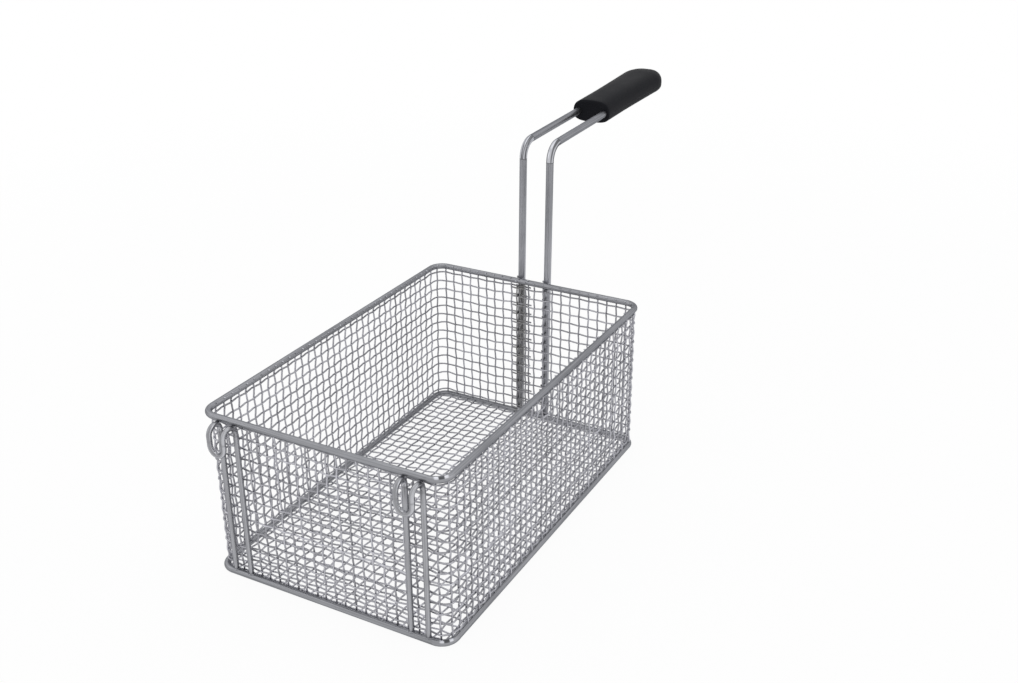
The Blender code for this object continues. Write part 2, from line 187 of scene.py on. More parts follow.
class ClothSizes(bpy.types.PropertyGroup):
    """Sizes of the woven wire cloth"""

    strand: metres("Strand", "Diameter of the cloth's wire", 0.00138)
    crimp: metres("Crimp", "How far a strand swings to each side of the cloth's middle", 0.00062)
    pitch: metres("Pitch", "Usual distance between neighbouring strands", 0.00845)
    corner_radius: metres("Corner radius", "Of the cloth at the basket's upright corners", 0.010)
    waver: metres("Waver", "How far the cloth strays from true", 0.00010)
    lap_depth: metres("Lap depth", "How far a lapped layer stands in front of the cloth's line", 0.0007)
    lap_rise: metres("Lap rise", "How far a lapped layer stands above the cloth's line", 0.0009)
    lap_fade: metres("Lap fade", "Length over which a lapped layer comes back into line", 0.022)
    sides: bpy.props.IntProperty(name="Sides", description="Faces round one strand", default=7)
    steps: bpy.props.IntProperty(
        name="Steps", description="Segments to each half pitch of a strand", default=3)


class GripSizes(bpy.types.PropertyGroup):
    """Sizes of the moulded grip"""

    length: metres("Length", "Along the handle", 0.1365)
    width: metres("Width", "Across, at the basket's end", 0.0361)
    flare: metres("Flare", "How much wider the far end is", 0.0049)
    thickness: metres("Thickness", "Of the side walls and the flat underside", 0.0172)
    crown: metres("Crown", "How far the top is domed", 0.0031)
    edge: metres("Edge", "Rounding of the edge round the near face", 0.0012)
    nose: metres("Nose", "Length of the round far end", 0.0226)
    wire_rise: metres("Wire rise", "How far the wires sit above the grip's middle", 0.0006)


class Finishes(bpy.types.PropertyGroup):
    """Colours of the basket's finishes"""

    frame_steel: tint("Frame steel", "Plated wire of the rim and the bottom frame", (0.281, 0.285, 0.303))
    handle_steel: tint("Handle steel", "Plated wire of the handle", (0.285, 0.289, 0.308))
    hook_steel: tint("Hook steel", "Plated wire of the drain hooks", (0.365, 0.368, 0.388))
    cloth_steel: tint("Cloth steel", "Plated wire of the cloth", (0.440, 0.440, 0.472))
    grip_plastic: tint("Grip plastic", "Moulded plastic of the grip", (0.0122, 0.0126, 0.0152))


class Board:
    """A node tree, with short ways to add nodes to it."""

    def __init__(self, tree):
        self.tree = tree

    def node(self, kind, settings=None, inputs=None):
        made = self.tree.nodes.new(kind)
        for name, value in (settings or {}).items():
            setattr(made, name, value)
        for name, value in (inputs or {}).items():
            self.feed(self.socket(made.inputs, name), value)
        return made

    def value(self, kind, settings=None, inputs=None, output=0):
        """The chosen output of a new node, ready for arithmetic."""
        made = self.node(kind, settings, inputs)
        return Sum(self, self.socket(made.outputs, output))

    def feed(self, socket, value):
        if isinstance(value, Sum):
            value = value.socket
        if isinstance(value, bpy.types.NodeSocket):
            self.tree.links.new(value, socket)
        else:
            socket.default_value = value

    @staticmethod
    def socket(sockets, name):
        """The socket with that number, identifier or name."""
        if isinstance(name, int):
            return sockets[name]
        for socket in sockets:
            if socket.identifier == name:
                return socket
        return sockets[name]

    def noise(self, place, scale, detail, output=0):
        inputs = {"Vector": place, "Scale": scale, "Detail": detail}
        return self.value("ShaderNodeTexNoise", inputs=inputs, output=output)

    def streaks(self, along, length, width):
        """Noise drawn out along the wire: how often it changes along the wire and round it."""
        inputs = {"Vector": along, "Scale": (length, width, 1.0)}
        return self.noise(self.value("ShaderNodeMapping", inputs=inputs), 1.0, 2.0)

    def parts(self, vector):
        outputs = self.node("ShaderNodeSeparateXYZ", inputs={"Vector": vector}).outputs
        return [Sum(self, outputs[axis]) for axis in "XYZ"]

    def mix(self, share, first, second, blend="MIX"):
        settings = {"data_type": "RGBA", "blend_type": blend}
        inputs = {"Factor_Float": share, "A_Color": first, "B_Color": second}
        return self.value("ShaderNodeMix", settings, inputs, "Result_Color")

    def vector(self, operation, inputs, output=0):
        return self.value("ShaderNodeVectorMath", {"operation": operation}, inputs, output)

    def place(self):
        return self.value("ShaderNodeTexCoord", output="Object")

    def attribute(self, name):
        return self.value("ShaderNodeAttribute", {"attribute_name": name}, output="Fac")

    def seen(self):
        """1 for what the camera sees directly, mirrored or through something clear, else 0."""
        path = self.node("ShaderNodeLightPath").outputs
        rays = [Sum(self, path["Is " + kind + " Ray"]) for kind in ("Camera", "Glossy", "Transmission")]
        return (rays[0] + rays[1] + rays[2]).clamped()

    def named(self, name, kind):
        """An attribute of the geometry in a Geometry Nodes tree."""
        settings = {"data_type": kind}
        return self.value("GeometryNodeInputNamedAttribute", settings, {"Name": name}, "Attribute")

    def stray(self, scale, detail, reach):
        """A shift that changes smoothly with the place in the geometry."""
        noise = self.noise(self.value("GeometryNodeInputPosition"), scale, detail, "Color")
        centred = self.vector("SUBTRACT", {0: noise, 1: (0.5, 0.5, 0.5)})
        return self.vector("SCALE", {0: centred, "Scale": reach})

    def put_out(self, geometry, material):
        """Ends a Geometry Nodes tree."""
        smooth = {"Geometry": geometry, "Shade Smooth": True}
        geometry = self.value("GeometryNodeSetShadeSmooth", inputs=smooth)
        coloured = {"Geometry": geometry, "Material": material}
        geometry = self.value("GeometryNodeSetMaterial", inputs=coloured)
        self.node("NodeGroupOutput", inputs={"Geometry": geometry})


class Sum:
    """A socket that takes part in Python arithmetic by adding Math nodes."""

    def __init__(self, board, socket):
        self.board = board
        self.socket = socket

    def math(self, operation, *others):
        inputs = dict(enumerate((self, *others)))
        return self.board.value("ShaderNodeMath", {"operation": operation}, inputs)

    def __add__(self, other):
        return self.math("ADD", other)

    def __sub__(self, other):
        return self.math("SUBTRACT", other)

    def __mul__(self, other):
        return self.math("MULTIPLY", other)

    def __rsub__(self, other):
        return self.math("MULTIPLY_ADD", -1.0, other)

    __radd__ = __add__

    def absolute(self):
        return self.math("ABSOLUTE")

    def clamped(self):
        made = self + 0.0
        made.socket.node.use_clamp = True
        return made

    def above(self, low, high):
        """0 below low, 1 above high, smooth between."""
        settings = {"interpolation_type": "SMOOTHSTEP"}
        inputs = {0: self, 1: low, 2: high, 3: 0.0, 4: 1.0}
        return self.board.value("ShaderNodeMapRange", settings, inputs)


def scaled(colour, share):
    return tuple(min(1.0, channel * share) for channel in colour)


def shade(colour, share):
    """The colour, lighter or darker, as a socket takes it."""
    return (*scaled(colour, share), 1.0)


def blank(owner):
    """The emptied node tree of a material or a world."""
    owner.use_nodes = True
    owner.node_tree.nodes.clear()
    return Board(owner.node_tree)


def new_material(name, colour, constants):
    """A material, its board, its shader and the place that it colours."""
    material = bpy.data.materials.new(name)
    material.diffuse_color = (*colour, 1.0)
    board = blank(material)
    shader = board.node("ShaderNodeBsdfPrincipled", inputs=constants)
    board.node("ShaderNodeOutputMaterial", inputs={"Surface": shader.outputs[0]})
    return material, board, shader, board.place()


def dress(board, shader, base, rough, relief, strength, distance):
    """Feeds the shader its colour, roughness and relief."""
    bump = {"Height": relief, "Strength": strength, "Distance": distance}
    board.feed(shader.inputs["Base Color"], base)
    board.feed(shader.inputs["Roughness"], rough.clamped())
    board.feed(shader.inputs["Normal"], board.value("ShaderNodeBump", inputs=bump))


def painted_corner_glint(board, place):
    """Where the front right bends of the rim and the bottom frame carry a painted highlight to each side
    and a painted dark reflection in the middle, on the wire's upper outer side."""
    sizes = bpy.context.scene.basket_sizes
    x, y, _ = board.parts(place)
    x -= sizes.width / 2 - sizes.corner_radius
    y -= MIDDLE_Y - sizes.length / 2 + sizes.corner_radius
    along = ((x + y) * math.sqrt(0.5)).absolute()
    outward = (x * x + y * y).math("SQRT") - sizes.corner_radius
    upper = outward.above(-0.0001, 0.0006) * (1.0 - outward.above(0.0018, 0.0023))
    corner_highlight = upper * along.above(0.0018, 0.0025) * (1.0 - along.above(0.0040, 0.0056))
    corner_dark_reflection = upper * (1.0 - along.above(0.0014, 0.0022))
    return corner_highlight * 0.8, corner_dark_reflection * 0.9


def scorch(board, place):
    """Where the seam's welding has burnt the wires at the left handle upright, 0 to 1."""
    x, y, z = board.parts(place)
    near = 1.0 - (x - SEAM_X).absolute().above(0.0040, 0.0080)
    behind = y.above(RIM_HIGH.y - 0.010, RIM_HIGH.y - 0.007)
    heat = z.above(FOOT_Z, FOOT_Z + 0.09) * 0.5 + 0.5
    below = 1.0 - z.above(RIM_Z - 0.003, RIM_Z)
    blotches = board.noise(place, 520.0, 2.0).above(0.30, 0.62) * 0.8 + 0.35
    return (near * behind * heat * below * blotches).clamped()


def plated_wire(name, colour, rub_and_glint, low_painted_lift):
    """Satin plated wire: long drawing streaks, cloudy plating, small pits, and bends that the bending
    tool has rubbed smooth, painted with bright highlight and dark reflection streaks, and a dark line
    where it let go. Its low part may be painted lighter, as a lift against the shade it reflects."""
    material, board, shader, place = new_material(name, colour, METAL)
    along = board.value("ShaderNodeUVMap", {"uv_map": "wire"})
    bend = board.attribute("bend")
    streaks = board.streaks(along, 12.0, 1150.0)
    clouds = board.noise(place, 55.0, 4.0)
    pits = board.noise(place, 1500.0, 2.0)
    glint_streak_noise = board.streaks(along, 14.0, 430.0)
    rubbed_with_painted_glints = bend.above(0.38, 0.46) * rub_and_glint
    edge = bend.above(0.26, 0.36) * (1.0 - bend.above(0.40, 0.48)) * rub_and_glint
    tone = (streaks.above(0.38, 0.62) - 0.5) * 0.55 + (clouds - 0.5) * 0.6 + 0.5
    base = board.mix(tone.clamped(), shade(colour, 0.72), shade(colour, 1.28))
    # Painted highlight and dark reflection streaks on the rubbed bends: bright and dark strands of colour
    # stand in for reflections.
    marks = board.mix(glint_streak_noise.above(0.44, 0.58), shade(colour, 0.45), shade(colour, 2.0))
    base = board.mix(rubbed_with_painted_glints * 0.85, base, marks)
    base = board.mix(edge * 0.55, base, shade(colour, 0.30))
    _, _, height = board.parts(place)
    # Painted light: the low part is lightened as a lift against the shade it reflects from the basket.
    low = 1.0 - height.above(RIM_Z + 0.005, RIM_Z + 0.085)
    base = board.mix(low, base, (low_painted_lift, low_painted_lift, low_painted_lift, 1.0), "MULTIPLY")
    # Painted highlight on the front right corners, with a painted dark reflection in their middle.
    corner_highlight, corner_dark_reflection = painted_corner_glint(board, place)
    base = board.mix(corner_highlight, base, shade(colour, 2.7))
    base = board.mix(corner_dark_reflection, base, shade(colour, 0.22))
    base = board.mix(scorch(board, place) * 0.6, base, BURNT)
    rough = 0.38 + (clouds - 0.5) * 0.22 + (streaks - 0.5) * 0.12 - rubbed_with_painted_glints * 0.20
    dress(board, shader, base, rough, streaks * 0.6 + pits * 0.4, 0.35, 0.00006)
    return material


def cloth_wire(name, colour):
    """Plated cloth wire: each strand has its own tone, the knuckles are rubbed brighter, and the
    plating is thinner and duller in the dips."""
    material, board, shader, place = new_material(name, colour, METAL)
    tone = board.attribute("tone")
    crest = board.attribute("knuckle").above(0.35, 1.0)
    clouds = board.noise(place, 90.0, 3.0)
    grain = board.noise(place, 1700.0, 2.0)
    light = (clouds - 0.5) * 0.8 + (grain - 0.5) * 0.25 + (tone - 0.5) * 0.55 + crest * 0.22 + 0.42
    base = board.mix(light.clamped(), shade(colour, 0.60), shade(colour, 1.40))
    base = board.mix(scorch(board, place) * 0.7, base, BURNT)
    dress(board, shader, base, 0.42 + (clouds - 0.5) * 0.25 - crest * 0.10, grain, 0.25, 0.00004)
    return material


def weld_metal(name, colour):
    """Spot-weld nuggets: plated over, with darker patches and a rippled skin."""
    material, board, shader, place = new_material(name, colour, METAL)
    skin = board.noise(place, 900.0, 4.0)
    patches = board.noise(place, 240.0, 2.0)
    base = board.mix(patches.above(0.3, 0.7), shade(colour, 0.55), shade(colour, 1.0))
    dress(board, shader, base, 0.36 + (skin - 0.5) * 0.3, skin, 0.6, 0.00015)
    return material


def moulded_plastic(name, colour):
    """Matt black moulding: fine spark-eroded grain, faint handling shine, and the parting line of the
    mould round the side."""
    material, board, shader, place = new_material(name, colour, {"Specular IOR Level": 0.028})
    _, lift = handle_axes()
    middle = grip_face() - lift * bpy.context.scene.grip_sizes.wire_rise
    turn = (bpy.context.scene.basket_sizes.handle_slope, 0.0, 0.0)
    local = board.value("ShaderNodeMapping", {"vector_type": "TEXTURE"},
                        {"Vector": place, "Location": middle, "Rotation": turn})
    _, _, height = board.parts(local)
    line = 1.0 - height.absolute().above(0.00008, 0.00030)
    grain = board.value("ShaderNodeTexVoronoi", {"feature": "SMOOTH_F1"},
                        {"Vector": place, "Scale": 2300.0})
    fine = board.noise(place, 3200.0, 3.0)
    wear = board.noise(place, 42.0, 5.0)
    light = (wear - 0.5) * 0.7 + (fine - 0.5) * 0.35 + 0.5
    base = board.mix(light.clamped(), shade(colour, 0.70), shade(colour, 1.40))
    rough = 0.50 + (wear - 0.5) * 0.22 + (grain - 0.5) * 0.06 - line * 0.12
    dress(board, shader, base, rough, grain * 0.55 + fine * 0.45 + line * 2.5, 0.5, 0.00008)
    return material


def material_for(name):
    """The named finish, made once."""
    found = bpy.data.materials.get(name)
    if found:
        return found
    finishes = bpy.context.scene.basket_finishes
    if name in PLATINGS:
        steel, rub_and_glint, low_painted_lift = PLATINGS[name]
        return plated_wire(name, tuple(getattr(finishes, steel)), rub_and_glint, low_painted_lift)
    if name in WELDS:
        return weld_metal(name, scaled(tuple(finishes.frame_steel), WELDS[name]))
    if name == "cloth_wire_finish":
        return cloth_wire(name, tuple(finishes.cloth_steel))
    return moulded_plastic(name, tuple(finishes.grip_plastic))


def eased(share):
    """0 below 0, 1 above 1, smooth between."""
    share = min(1.0, max(0.0, share))
    return share * share * (3 - 2 * share)


def between(stations, place):
    """The value at a place, from (place, value) pairs, held beyond the first and the last."""
    near, far = stations[0], stations[-1]
    for first, second in zip(stations, stations[1:]):
        if first[0] <= place <= second[0]:
            near, far = first, second
    share = min(1.0, max(0.0, (place - near[0]) / (far[0] - near[0])))
    return near[1] + (far[1] - near[1]) * share


def neighbours(items, closed):
    """Each item between the one before it and the one after it."""
    first, last = (items[-1], items[0]) if closed else (items[0], items[-1])
    return zip([first, *items], items, [*items[1:], last])


def arc(centre, start, end, radius, first, last, steps):
    """Points on a circle in the plane of the unit vectors start, at 0 degrees, and end, at 90."""
    points = []
    for step in range(steps + 1):
        angle = math.radians(first + (last - first) * step / steps)
        points.append(centre + radius * (math.cos(angle) * start + math.sin(angle) * end))
    return points


def rounded_loop(width, length, radius, z, steps):
    """A rectangle with round corners round the basket's middle, anticlockwise."""
    points = []
    for sign_x, sign_y, first in ((1, -1, -90), (1, 1, 0), (-1, 1, 90), (-1, -1, 180)):
        centre = Vector((sign_x * (width / 2 - radius), MIDDLE_Y + sign_y * (length / 2 - radius), z))
        points += arc(centre, RIGHT, BACK, radius, first, first + 90, steps)
    return points


def refined(points, step, closed):
    """The same path with its long stretches divided."""
    fine = []
    for near, far in zip(points, points[1:] + points[:1] if closed else points[1:]):
        pieces = max(1, math.ceil((far - near).length / step))
        fine += [near.lerp(far, piece / pieces) for piece in range(pieces)]
    return fine if closed else fine + points[-1:]


def bend_shares(points, closed):
    """How sharply the wire is bent at each point, 0 on straight wire and 1 on a tight bend."""
    tight_radius = 0.012
    sharp = []
    for before, place, after in neighbours(points, closed):
        arriving, leaving = place - before, after - place
        span = (arriving.length + leaving.length) / 2
        sharp.append(min(1.0, arriving.angle(leaving, 0.0) / span * tight_radius))
    for _ in range(3):
        sharp = [(low + 2 * middle + high) / 4 for low, middle, high in neighbours(sharp, closed)]
    return sharp


def wire_mesh(name, points, diameter, sides, closed=False, swell=None, step=0.004):
    """Round wire swept along a path, with a UV map that runs along and round it, its bends marked,
    and its cut ends slightly rounded."""
    path = refined(points, step, closed)
    spans = [(far - near).length for near, far in zip(path, path[1:] + path[:1])]
    total = sum(spans if closed else spans[:-1])
    normal = UP.copy() if closed else (path[1] - path[0]).normalized().orthogonal().normalized()
    rings = []
    travelled = 0.0
    bends = bend_shares(path, closed)
    for (before, place, after), span, bend in zip(neighbours(path, closed), spans, bends):
        tangent = (after - before).normalized()
        normal = (normal - tangent * normal.dot(tangent)).normalized()
        radius = diameter / 2 * (swell(travelled, total) if swell else 1.0)
        rings.append([place, tangent, normal, radius, travelled, bend])
        travelled += span
    if not closed:
        cuts = []
        for ring, inward in ((rings[0], 1), (rings[-1], -1)):
            cuts.append([*ring[:3], ring[3] * 0.80, ring[4], 0.0])
            ring[0] = ring[0] + ring[1] * ring[3] * 0.18 * inward
        rings = [cuts[0], *rings, cuts[1]]
    vertices, marks = [], []
    for place, tangent, across, radius, _, bend in rings:
        other = tangent.cross(across)
        for side in range(sides):
            angle = 2 * math.pi * side / sides
            vertices.append(place + radius * (math.cos(angle) * across + math.sin(angle) * other))
        marks += [bend] * sides
    faces, coordinates = [], []
    for ring in range(len(rings) if closed else len(rings) - 1):
        following = (ring + 1) % len(rings)
        start, finish = rings[ring][4], rings[following][4] if following else total
        for side in range(sides):
            beside = (side + 1) % sides
            faces.append((ring * sides + side, ring * sides + beside,
                          following * sides + beside, following * sides + side))
            low, high = (math.pi * diameter * corner / sides for corner in (side, side + 1))
            coordinates += [(start, low), (start, high), (finish, high), (finish, low)]
    if not closed:
        base = (len(rings) - 1) * sides
        faces += [tuple(range(sides - 1, -1, -1)), tuple(range(base, base + sides))]
        coordinates += [(0.0, 0.0)] * sides + [(total, 0.0)] * sides
    mesh = bpy.data.meshes.new(name)
    mesh.from_pydata(vertices, [], faces)
    layer = mesh.uv_layers.new(name="wire")
    for loop, coordinate in zip(layer.data, coordinates):
        loop.uv = coordinate
    mesh.attributes.new("bend", "FLOAT", "POINT").data.foreach_set("value", marks)
    mesh.polygons.foreach_set("use_smooth", [len(face) == 4 for face in faces])
    mesh.update()
    return mesh


def show(name, mesh, finish, slot, *replaced):
    """Puts a finished mesh in the scene as a piece of the basket."""
    piece = bpy.data.objects.new(name, mesh)
    bpy.context.scene.collection.objects.link(piece)
    mesh.materials.clear()
    mesh.materials.append(material_for(finish))
    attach(piece, "root")
    if replaced:
        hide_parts(*replaced)


def new_tree(name, sockets):
    """An empty Geometry Nodes tree with a geometry in and out and the named inputs, as its board and
    what it is given."""
    tree = bpy.data.node_groups.new(name, "GeometryNodeTree")
    tree.interface.new_socket("Geometry", in_out="OUTPUT", socket_type="NodeSocketGeometry")
    tree.interface.new_socket("Geometry", in_out="INPUT", socket_type="NodeSocketGeometry")
    for label, kind, default in sockets:
        socket = tree.interface.new_socket(label, in_out="INPUT", socket_type="NodeSocket" + kind)
        if default is not None:
            socket.default_value = default
    board = Board(tree)
    return board, board.node("NodeGroupInput").outputs


def run_tree(tree, guide, values, name):
    """The tree's result on the guide mesh, as a plain mesh."""
    holder = bpy.data.objects.new(name + "_guide", guide)
    bpy.context.scene.collection.objects.link(holder)
    modifier = holder.modifiers.new(tree.name, "NODES")
    modifier.node_group = tree
    for item in tree.interface.items_tree:
        if item.item_type == "SOCKET" and item.in_out == "INPUT" and item.name in values:
            modifier[item.identifier] = values[item.name]
    mesh = applied(holder)
    holder.modifiers.clear()
    bpy.data.objects.remove(holder)
    bpy.data.meshes.remove(guide)
    mesh.name = name
    return mesh


def applied(holder):
    """The object's mesh with its modifiers applied."""
    graph = bpy.context.evaluated_depsgraph_get()
    graph.update()
    mesh = bpy.data.meshes.new_from_object(holder.evaluated_get(graph), depsgraph=graph)
    if not mesh.polygons:
        raise RuntimeError(holder.name + " came out empty")
    return mesh


def weaving_tree():
    """Turns guide lines into crimped strands: a smooth curve through the guide's points, kinked to one
    side and the other by its crossing count, led astray by one noise that all strands share."""
    board, given = new_tree("Crimped strands", (
        ("Radius", "Float", 0.0006), ("Crimp", "Float", 0.0006), ("Waver", "Float", 0.0004),
        ("Steps", "Int", 3), ("Sides", "Int", 7), ("Material", "Material", None)))
    curve = board.value("GeometryNodeMeshToCurve", inputs={"Mesh": given["Geometry"]})
    curve = board.value("GeometryNodeCurveSplineType", {"spline_type": "CATMULL_ROM"}, {"Curve": curve})
    fine = {"Geometry": curve, "Resolution": given["Steps"]}
    curve = board.value("GeometryNodeSetSplineResolution", inputs=fine)
    curve = board.value("GeometryNodeResampleCurve", {"mode": "EVALUATED"}, {"Curve": curve})
    wave = (board.named("phase", "FLOAT") * math.pi).math("COSINE")
    swing = wave * wave.absolute()
    curve = board.value("GeometryNodeStoreNamedAttribute", {"data_type": "FLOAT", "domain": "POINT"},
                        {"Geometry": curve, "Name": "knuckle", "Value": swing})
    out = board.named("out", "FLOAT_VECTOR")
    crimped = board.vector("SCALE", {0: out, "Scale": swing * Sum(board, given["Crimp"])})
    stray = board.stray(24.0, 2.0, Sum(board, given["Waver"]) * 2.0)
    shift = board.vector("ADD", {0: crimped, 1: stray})
    curve = board.value("GeometryNodeSetPosition", inputs={"Geometry": curve, "Offset": shift})
    profile = board.value("GeometryNodeCurvePrimitiveCircle", {"mode": "RADIUS"},
                          {"Resolution": given["Sides"], "Radius": given["Radius"]})
    swept = {"Curve": curve, "Profile Curve": profile, "Fill Caps": True}
    wires = board.value("GeometryNodeCurveToMesh", inputs=swept)
    wires = board.value("GeometryNodeRealizeInstances", inputs={"Geometry": wires})
    board.put_out(wires, given["Material"])
    return board.tree


def weld_tree():
    """Sets a lumpy nugget at each guide point, with that point's three half sizes."""
    board, given = new_tree("Weld nuggets", (
        ("Detail", "Int", 3), ("Lumps", "Float", 0.0002), ("Material", "Material", None)))
    round_ball = {"Radius": 1.0, "Subdivisions": given["Detail"]}
    ball = board.value("GeometryNodeMeshIcoSphere", inputs=round_ball)
    size = board.named("size", "FLOAT_VECTOR")
    placed = {"Points": given["Geometry"], "Instance": ball, "Scale": size}
    balls = board.value("GeometryNodeInstanceOnPoints", inputs=placed)
    balls = board.value("GeometryNodeRealizeInstances", inputs={"Geometry": balls})
    lumps = board.stray(900.0, 1.0, given["Lumps"])
    balls = board.value("GeometryNodeSetPosition", inputs={"Geometry": balls, "Offset": lumps})
    board.put_out(balls, given["Material"])
    return board.tree


def weave(name, strands):
    """Crimped strands as one mesh. A strand is a list of (place, out, phase) and one tone."""
    vertices, edges, outs, phases, tones = [], [], [], [], []
    for points, tone in strands:
        edges += [(index, index + 1) for index in range(len(vertices), len(vertices) + len(points) - 1)]
        for place, out, phase in points:
            vertices.append(place)
            outs += list(out)
            phases.append(phase)
            tones.append(tone)
    mesh = bpy.data.meshes.new(name + "_lines")
    mesh.from_pydata(vertices, edges, [])
    mesh.attributes.new("out", "FLOAT_VECTOR", "POINT").data.foreach_set("vector", outs)
    mesh.attributes.new("phase", "FLOAT", "POINT").data.foreach_set("value", phases)
    mesh.attributes.new("tone", "FLOAT", "POINT").data.foreach_set("value", tones)
    sizes = bpy.context.scene.cloth_sizes
    values = {"Radius": sizes.strand / 2, "Crimp": sizes.crimp, "Waver": sizes.waver,
              "Steps": sizes.steps, "Sides": sizes.sides, "Material": material_for("cloth_wire_finish")}
    return run_tree(bpy.data.node_groups.get("Crimped strands") or weaving_tree(), mesh, values, name)


def show_nuggets(name, places, detail, lumps, finish="weld_finish"):
    """Shows weld nuggets at (place, half sizes) as one piece."""
    mesh = bpy.data.meshes.new(name + "_points")
    mesh.from_pydata([place for place, _ in places], [], [])
    sizes = [share for _, size in places for share in size]
    mesh.attributes.new("size", "FLOAT_VECTOR", "POINT").data.foreach_set("vector", sizes)
    values = {"Detail": detail, "Lumps": lumps, "Material": material_for(finish)}
    tree = bpy.data.node_groups.get("Weld nuggets") or weld_tree()
    show(name, run_tree(tree, mesh, values, name), finish, "frame_steel")


class WallLine:
    """The line that the wall cloth follows in plan: from its cut edge on the back wall to the right,
    round the basket and past its own start. Straight parts have even numbers and corners odd ones."""

    def __init__(self):
        sizes = bpy.context.scene.basket_sizes
        cloth = bpy.context.scene.cloth_sizes
        front_inset = sizes.hook_wire / 2 + cloth.crimp + cloth.strand / 2
        self.radius = cloth.corner_radius
        self.back_y = sizes.length / 2 - SEAT_GAP
        reach = sizes.width / 2 - SEAT_GAP - self.radius
        back = self.back_y - self.radius
        front = -sizes.length / 2 + front_inset + self.radius
        self.centres = [Vector((x, y, 0)) for x, y in (
            (CLOTH_START_X, back), (reach, back), (reach, front), (-reach, front), (-reach, back))]
        turn = self.radius * math.pi / 2
        lengths = (reach - CLOTH_START_X, turn, back - front, turn, 2 * reach, turn, back - front, turn,
                   CLOTH_END_X + reach)
        self.parts = []
        self.total = 0.0
        for length in lengths:
            self.parts.append((self.total, length))
            self.total += length
        self.columns, self.anchors = self.stations()

    @staticmethod
    def directions(angle):
        """Outward from the cloth, and along it, where it faces that way."""
        out = Vector((math.cos(angle), math.sin(angle), 0))
        return out, Vector((out.y, -out.x, 0))

    def at(self, distance):
        """Point in plan and outward direction at a distance along the line."""
        index = 0
        while index < len(self.parts) - 1 and distance > sum(self.parts[index]):
            index += 1
        start, length = self.parts[index]
        travel = distance - start
        wall, cornered = divmod(index, 2)
        turned = (1 - wall) * math.pi / 2
        if cornered:
            turned -= travel / length * math.pi / 2
            travel = 0.0
        out, along = self.directions(turned)
        return self.centres[wall + cornered] + out * self.radius + along * travel, out

    def on_front(self, distance):
        return self.at(distance)[1].y < -0.7

    def stations(self):
        """The upright strands as (distance, lean), filled in evenly round the corners, and the
        heights of the level strands at chosen distances."""
        pitch = bpy.context.scene.cloth_sizes.pitch
        known, anchors = [], []
        for wall, (lean, uprights, levels) in enumerate(WALLS):
            _, along = self.directions((1 - wall) * math.pi / 2)
            origin = self.parts[2 * wall][0] - self.centres[wall].dot(along)
            sign = round(along.x + along.y)
            found = sorted(origin + sign * place / 1000 for place in uprights)
            known += [(distance, sign * lean) for distance in found]
            sags = [(origin + sign * place / 1000, heights) for at, place, heights in SAGS if at == wall]
            anchors += [(found[0], levels)] + sags
            if wall != 1:
                anchors.append((found[-1], levels))
        columns = []
        for (near, tilt), (far, next_tilt) in zip(known, known[1:]):
            cells = max(1, round((far - near) / pitch))
            for cell in range(cells):
                share = cell / cells
                columns.append((near + (far - near) * share, tilt + (next_tilt - tilt) * share))
        return columns + [known[-1]], anchors

    def level(self, row, distance):
        """Height of a level strand at a distance along the line."""
        known = [(place, heights[row]) for place, heights in self.anchors]
        return FOOT_Z + between(known, distance) / 1000

    def lap(self, distance):
        """How far the cloth is in the overlap's end layer, or less than 0 in its start layer."""
        full = 0.9 * (CLOTH_END_X - CLOTH_START_X)
        fade = bpy.context.scene.cloth_sizes.lap_fade
        to_end = self.total - distance
        return eased(1.0 - (to_end - full) / fade) - eased(1.0 - (distance - full) / fade)

    def point(self, distance, z):
        """Point on the cloth at a distance and a height, and the direction outward there."""
        cloth = bpy.context.scene.cloth_sizes
        flat, out = self.at(distance)
        lap = self.lap(distance)
        return flat + out * cloth.lap_depth * lap + Vector((0, MIDDLE_Y, z + cloth.lap_rise * lap)), out


def threaded(marks, least, guide):
    """Guide points at the marks, (place, count), and half way between marks that lie apart."""
    points = []
    for (near, count), (far, following) in zip(marks, marks[1:] + marks[-1:]):
        for share in (0.0, 0.5) if following - count > least else (0.0,):
            points.append(guide(near + (far - near) * share, count + (following - count) * share))
    return points


def wall_strands():
    """Guide lines of the upright and the level strands of the wall cloth."""
    chance = random.Random(11)
    line = WallLine()
    beside_wire = bpy.context.scene.basket_sizes.frame_wire / 2 - 0.0001
    uprights, levels = [], []
    for column, (distance, lean) in enumerate(line.columns):
        short = 0.0 if line.on_front(distance) else beside_wire
        marks = [(RIM_Z - short, -0.5)] + [(line.level(row, distance), row) for row in ROWS]
        marks.append((FOOT_Z + short, len(ROWS) - 0.75))
        lean += chance.uniform(-0.003, 0.003)

        def upright(z, count):
            return *line.point(distance + lean * (z - HALF_Z), z), count + column

        uprights.append((threaded(marks, 0.9, upright), chance.random()))
    last = len(line.columns) - 1
    crossings = [(distance, index) for index, (distance, _) in enumerate(line.columns)]
    for row in ROWS:
        trimmed = line.total - chance.uniform(0.0, 0.0012)

        def level(distance, count):
            return *line.point(distance, line.level(row, distance)), count + row + 1

        marks = [(0.0, -0.6), *crossings, (trimmed, last + 0.35)]
        levels.append((threaded(marks, 0.5, level), chance.random()))
    return uprights, levels


def bowed(x, y):
    """How far the base cloth's cross strands are bowed towards the back at a place in the base."""
    across = ((-0.100, -1.2), (-0.070, -0.9), (-0.022, 0.2), (0.025, 1.0), (0.070, 0.0), (0.100, -0.7))
    along = ((-0.150, 0.0), (-0.040, 1.0), (0.065, 1.0), (0.135, 0.0))
    return 0.0029 * between(across, x) * between(along, y)


